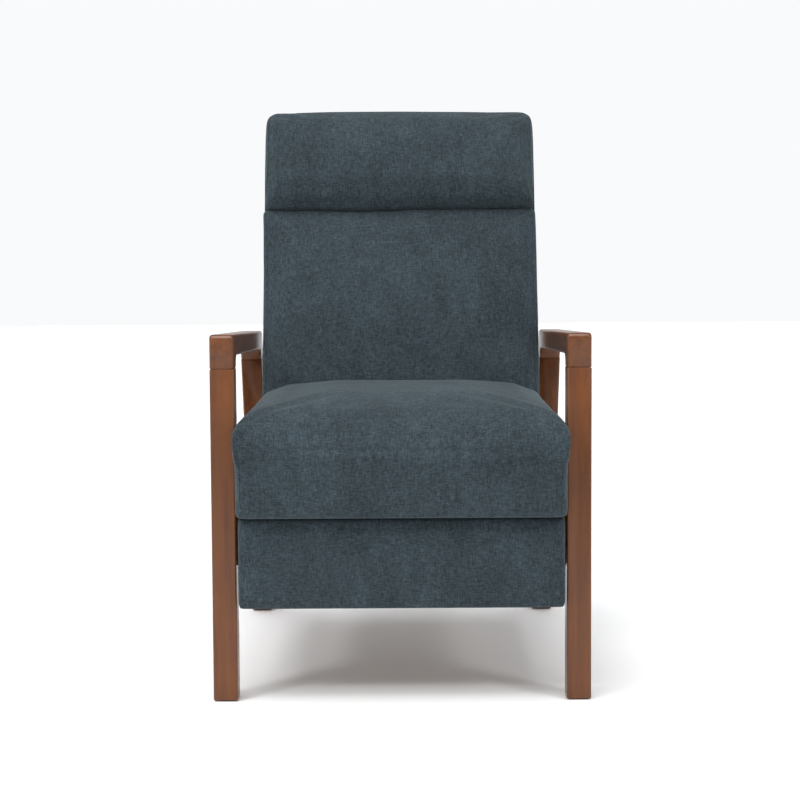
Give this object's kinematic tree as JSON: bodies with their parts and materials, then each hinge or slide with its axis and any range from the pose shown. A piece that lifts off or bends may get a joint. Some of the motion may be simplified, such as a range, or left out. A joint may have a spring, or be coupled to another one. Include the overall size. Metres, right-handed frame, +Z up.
{
  "type": "recliner armchair",
  "caption": "Push-back recliner with open timber arms, padded seat and high back, and a footrest on a folding linkage driven by the back.",
  "frame": {"origin": "on the floor under the middle of the chair's width and depth", "axes": "+Z up, +Y to the rear (the back leans to +Y), +X to the right as seen from the front; left and right in names are also as seen from the front"},
  "size_m": [0.636, 0.9299, 1.0476],
  "materials": {
    "walnut": "satin walnut stain",
    "frame_timber": "unfinished beech and plywood",
    "upholstery": "woven slate chenille",
    "felt": "needled felt",
    "mechanism_steel": "black powder coat",
    "zinc_steel": "zinc plated",
    "brass": "turned",
    "nylon": "moulded"
  },
  "bodies": {
    "chair": {"arm_left": "walnut", "arm_right": "walnut", "front_leg_left": "walnut", "front_leg_right": "walnut", "rear_leg_left": "walnut", "rear_leg_right": "walnut", "leg_dowels": "frame_timber", "foot_glides": "nylon", "seat_side_rail_left": "frame_timber", "seat_side_rail_right": "frame_timber", "side_cover_left": "upholstery", "side_cover_right": "upholstery", "frame_bolts": "zinc_steel", "frame_washers": "zinc_steel", "threaded_inserts": "brass", "seat_front_rail": "frame_timber", "seat_rear_rail": "frame_timber", "rear_stretcher": "frame_timber", "corner_blocks": "frame_timber", "seat_springs": "zinc_steel", "seat_spring_clips": "zinc_steel", "seat_felt": "felt", "mechanism_plate_left": "mechanism_steel", "mechanism_plate_right": "mechanism_steel", "mechanism_screws": "zinc_steel", "hinge_pins": "zinc_steel", "crank_pivot_rivets": "zinc_steel", "seat_cushion": "upholstery", "seat_front_pad": "upholstery"},
    "backrest": {"back_bracket_left": "mechanism_steel", "back_bracket_right": "mechanism_steel", "back_stile_left": "frame_timber", "back_stile_right": "frame_timber", "bracket_bolts": "zinc_steel", "bracket_nuts": "zinc_steel", "back_bottom_rail": "frame_timber", "back_middle_rail": "frame_timber", "back_top_rail": "frame_timber", "back_springs": "zinc_steel", "back_spring_clips": "zinc_steel", "back_border": "upholstery", "outer_back_panel": "upholstery", "back_cushion": "upholstery", "headrest_cushion": "upholstery", "drive_rod_rivets": "zinc_steel"},
    "front_crank": {"front_cranks": "mechanism_steel", "front_cross_tube": "mechanism_steel", "front_crank_rivets": "zinc_steel"},
    "rear_crank": {"rear_cranks": "mechanism_steel", "rear_cross_tube": "mechanism_steel", "rear_crank_rivets": "zinc_steel"},
    "long_link": {"long_links": "mechanism_steel"},
    "lower_link": {"lower_links": "mechanism_steel"},
    "footrest": {"footrest_board": "frame_timber", "footrest_pad": "upholstery", "footrest_brackets": "mechanism_steel", "footrest_screws": "zinc_steel", "footrest_rivets": "zinc_steel"},
    "drive_rod": {"drive_rods": "mechanism_steel"}
  },
  "joints": [
    {"name": "recline", "type": "hinge", "parent": "chair", "child": "backrest", "pos_m": [0, 0.1065, 0.365], "axis": [-1, 0, 0], "range_deg": [0, 40]},
    {"name": "front_crank_swing", "type": "hinge", "parent": "chair", "child": "front_crank", "pos_m": [0, -0.2785, 0.36], "axis": [-1, 0, 0], "range_deg": [0, 100]},
    {"name": "rear_crank_swing", "type": "hinge", "parent": "chair", "child": "rear_crank", "pos_m": [0, -0.1635, 0.36], "axis": [-1, 0, 0], "range_deg": [0, 100]},
    {"name": "long_link_turn", "type": "hinge", "parent": "front_crank", "child": "long_link", "pos_m": [0, -0.1285, 0.23], "axis": [-1, 0, 0], "range_deg": [-100, 0]},
    {"name": "footrest_turn", "type": "hinge", "parent": "long_link", "child": "footrest", "pos_m": [0, -0.3545, 0.292], "axis": [-1, 0, 0], "range_deg": [0, 100]},
    {"name": "lower_link_turn", "type": "hinge", "parent": "rear_crank", "child": "lower_link", "pos_m": [0, 0.0125, 0.193], "axis": [-1, 0, 0], "range_deg": [-100, 0]},
    {"name": "drive_rod_turn", "type": "hinge", "parent": "backrest", "child": "drive_rod", "pos_m": [0, 0.1581, 0.3157], "axis": [-1, 0, 0], "range_deg": [-36.8, 0]}
  ],
  "couplings": [
    {"joint": "front_crank_swing", "follows": "recline", "ratio": 2.5},
    {"joint": "rear_crank_swing", "follows": "recline", "ratio": 2.5},
    {"joint": "long_link_turn", "follows": "recline", "ratio": -2.5},
    {"joint": "footrest_turn", "follows": "recline", "ratio": 2.5},
    {"joint": "lower_link_turn", "follows": "recline", "ratio": -2.5},
    {"joint": "drive_rod_turn", "follows": "recline", "ratio": -0.9195}
  ]
}
